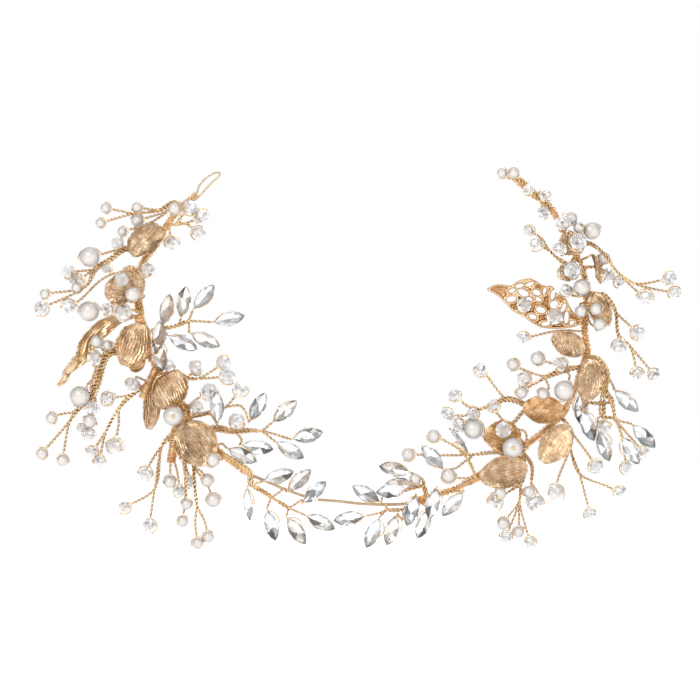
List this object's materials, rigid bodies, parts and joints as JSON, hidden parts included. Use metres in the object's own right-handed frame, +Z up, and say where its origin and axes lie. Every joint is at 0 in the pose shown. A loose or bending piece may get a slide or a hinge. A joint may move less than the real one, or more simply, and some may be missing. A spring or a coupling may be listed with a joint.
{
  "type": "bridal tiara",
  "caption": "Bendable U-shaped wire hair vine with cupped gold leaves, an openwork leaf and twisted-wire sprays of pearls, round crystals and pointed-oval stones, pinned into a bride's hair.",
  "frame": {"origin": "on the upper side of the bare band wire, at the middle of the band, where it rests against the hair", "axes": "+X towards the right wing as seen from the show side, +Z up towards the open ends of the U, -Y out of the show side, +Y towards the head"},
  "size_m": [0.2582, 0.0228, 0.1526],
  "materials": {
    "champagne_gold": "bright plated wire",
    "copper_binding": "fine deep-gold binding wire",
    "leaf_gold": "ribbed, brushed champagne gold",
    "pearl": "cream pearl lustre",
    "crystal": "clear cut glass with a faint pink and blue coating",
    "foiled_stone": "cut pointed-oval stone with a silver foil back"
  },
  "bodies": {
    "band_centre": {"band_wire_centre": "champagne_gold"},
    "left_wing": {"band_wire_left": "champagne_gold", "binding_left": "copper_binding", "cluster_left_middle": "crystal", "collar_left": "copper_binding", "drop_spray_left": "crystal", "fan_spray_left": "crystal", "inner_marquise_spray_left": "crystal", "inner_spray_left": "crystal", "leaf_left_1": "leaf_gold", "leaf_left_3": "leaf_gold", "leaf_left_4": "leaf_gold", "leaf_left_5": "leaf_gold", "leaf_left_6": "leaf_gold", "leaf_left_7": "leaf_gold", "leaf_left_8": "leaf_gold", "leaf_left_9": "leaf_gold", "lower_marquise_spray_left": "crystal", "marquise_spray_left_upper": "crystal", "outer_spray_left_lower": "crystal", "outer_spray_left_middle": "crystal", "outer_spray_left_upper": "crystal", "pin_loop_left": "champagne_gold", "shoulder_spray_left": "crystal", "tip_spray_left": "crystal"},
    "right_wing": {"band_wire_right": "champagne_gold", "binding_right": "copper_binding", "cluster_right_lower": "crystal", "cluster_right_middle": "crystal", "cluster_right_upper": "crystal", "fan_spray_right": "crystal", "filigree_leaf": "leaf_gold", "inner_marquise_spray_right": "crystal", "inner_spray_right_lower": "crystal", "inner_spray_right_middle": "crystal", "inner_spray_right_upper": "crystal", "leaf_right_1": "leaf_gold", "leaf_right_10": "leaf_gold", "leaf_right_2": "leaf_gold", "leaf_right_3": "leaf_gold", "leaf_right_4": "leaf_gold", "leaf_right_5": "leaf_gold", "leaf_right_6": "leaf_gold", "leaf_right_7": "leaf_gold", "leaf_right_8": "leaf_gold", "leaf_right_9": "leaf_gold", "lower_marquise_spray_right": "crystal", "marquise_spray_right": "crystal", "outer_spray_right_lower": "crystal", "outer_spray_right_middle": "crystal", "outer_spray_right_upper": "crystal", "tip_spray_right": "crystal"},
    "pearl_left_upper": {"pearl_left_upper": "pearl"},
    "pearl_left_middle": {"pearl_left_middle": "pearl"},
    "pearl_left_lower": {"pearl_left_lower": "pearl"},
    "pearl_left_front": {"pearl_left_front": "pearl"},
    "pearl_right_front": {"pearl_right_front": "pearl"},
    "pearl_right_side": {"pearl_right_side": "pearl"},
    "pearl_right_middle": {"pearl_right_middle": "pearl"},
    "pearl_right_upper": {"pearl_right_upper": "pearl"}
  },
  "joints": [
    {"name": "wrap_left", "type": "hinge", "parent": "band_centre", "child": "left_wing", "pos_m": [-0.00735, 0, 0], "axis": [0, 0, -1], "range_deg": [0, 30]},
    {"name": "wrap_right", "type": "hinge", "parent": "band_centre", "child": "right_wing", "pos_m": [0.00805, 0, -0.0015], "axis": [0, 0, 1], "range_deg": [0, 30]},
    {"name": "pearl_left_upper_spin", "type": "hinge", "parent": "left_wing", "child": "pearl_left_upper", "pos_m": [-0.1, -0.002, 0.0972], "axis": [-0.9744, 0, -0.225], "continuous": true},
    {"name": "pearl_left_middle_spin", "type": "hinge", "parent": "left_wing", "child": "pearl_left_middle", "pos_m": [-0.1002, -0.003, 0.0754], "axis": [-0.9903, 0, -0.1392], "continuous": true},
    {"name": "pearl_left_lower_spin", "type": "hinge", "parent": "left_wing", "child": "pearl_left_lower", "pos_m": [-0.104, -0.002, 0.0416], "axis": [-0.5446, 0, -0.8387], "continuous": true},
    {"name": "pearl_left_front_spin", "type": "hinge", "parent": "left_wing", "child": "pearl_left_front", "pos_m": [-0.0664, -0.008, 0.0337], "axis": [0, -1, 0], "continuous": true},
    {"name": "pearl_right_front_spin", "type": "hinge", "parent": "right_wing", "child": "pearl_right_front", "pos_m": [0.0687, -0.0115, 0.0212], "axis": [0, -1, 0], "continuous": true},
    {"name": "pearl_right_side_spin", "type": "hinge", "parent": "right_wing", "child": "pearl_right_side", "pos_m": [0.0534, -0.002, 0.0283], "axis": [-0.788, 0, 0.6157], "continuous": true},
    {"name": "pearl_right_middle_spin", "type": "hinge", "parent": "right_wing", "child": "pearl_right_middle", "pos_m": [0.0892, -0.01, 0.0439], "axis": [-0.3907, 0, -0.9205], "continuous": true},
    {"name": "pearl_right_upper_spin", "type": "hinge", "parent": "right_wing", "child": "pearl_right_upper", "pos_m": [0.1006, -0.003, 0.1076], "axis": [0.9397, 0, 0.342], "continuous": true}
  ]
}
